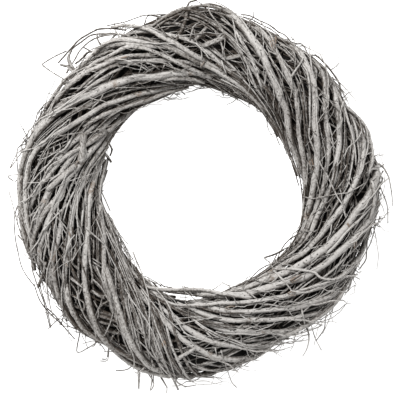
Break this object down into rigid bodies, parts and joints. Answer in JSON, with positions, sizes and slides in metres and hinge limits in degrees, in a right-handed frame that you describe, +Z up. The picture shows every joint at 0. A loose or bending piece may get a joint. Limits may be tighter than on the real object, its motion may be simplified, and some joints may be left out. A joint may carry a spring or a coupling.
{
  "type": "wicker wreath",
  "caption": "Round wreath of whitewashed birch brushwood, wound in a long slanting lay round an open centre, lying flat.",
  "frame": {"origin": "on the surface that the wreath lies on, under the middle of its ring", "axes": "+Z up out of the surface, along the wreath's axis; +X and +Y across the ring, with +Y the way that points up in the picture"},
  "size_m": [0.4262, 0.4274, 0.083],
  "materials": {
    "whitewashed_bark": "matt pale grey limewash over smooth young birch bark, worn to tan at knots and cut ends",
    "shaded_bark": "matt grey limewash over fine brushwood, thinner and darker than on the outside",
    "tie_wire": "dull annealed binding wire"
  },
  "bodies": {
    "root": {"top_branch_01": "whitewashed_bark", "top_branch_02": "whitewashed_bark", "top_branch_03": "whitewashed_bark", "top_branch_04": "whitewashed_bark", "top_branch_05": "whitewashed_bark", "top_branch_06": "whitewashed_bark", "top_branch_07": "whitewashed_bark", "top_branch_08": "whitewashed_bark", "top_branch_09": "whitewashed_bark", "top_branch_10": "whitewashed_bark", "top_branch_11": "whitewashed_bark", "top_branch_12": "whitewashed_bark", "top_branch_13": "whitewashed_bark", "top_branch_14": "whitewashed_bark", "top_branch_15": "whitewashed_bark", "top_branch_16": "whitewashed_bark", "top_branch_17": "whitewashed_bark", "top_branch_18": "whitewashed_bark", "top_branch_19": "whitewashed_bark", "top_branch_20": "whitewashed_bark", "top_branch_21": "whitewashed_bark", "top_branch_22": "whitewashed_bark", "top_branch_23": "whitewashed_bark", "top_branch_24": "whitewashed_bark", "top_branch_25": "whitewashed_bark", "top_branch_26": "whitewashed_bark", "top_branch_27": "whitewashed_bark", "top_branch_28": "whitewashed_bark", "underside_branch_01": "whitewashed_bark", "underside_branch_02": "whitewashed_bark", "underside_branch_03": "whitewashed_bark", "underside_branch_04": "whitewashed_bark", "underside_branch_05": "whitewashed_bark", "underside_branch_06": "whitewashed_bark", "underside_branch_07": "whitewashed_bark", "underside_branch_08": "whitewashed_bark", "underside_branch_09": "whitewashed_bark", "underside_branch_10": "whitewashed_bark", "underside_branch_11": "whitewashed_bark", "underside_branch_12": "whitewashed_bark", "underside_branch_13": "whitewashed_bark", "underside_branch_14": "whitewashed_bark", "underside_branch_15": "whitewashed_bark", "underside_branch_16": "whitewashed_bark", "underside_branch_17": "whitewashed_bark", "underside_branch_18": "whitewashed_bark", "brushwood_bunch_1": "shaded_bark", "brushwood_bunch_2": "shaded_bark", "brushwood_bunch_3": "shaded_bark", "brushwood_bunch_4": "shaded_bark", "brushwood_bunch_5": "shaded_bark", "brushwood_bunch_6": "shaded_bark", "tie_wire_1": "tie_wire", "tie_wire_2": "tie_wire", "tie_wire_3": "tie_wire", "tie_wire_4": "tie_wire", "tie_wire_5": "tie_wire", "tie_wire_6": "tie_wire"}
  },
  "joints": []
}
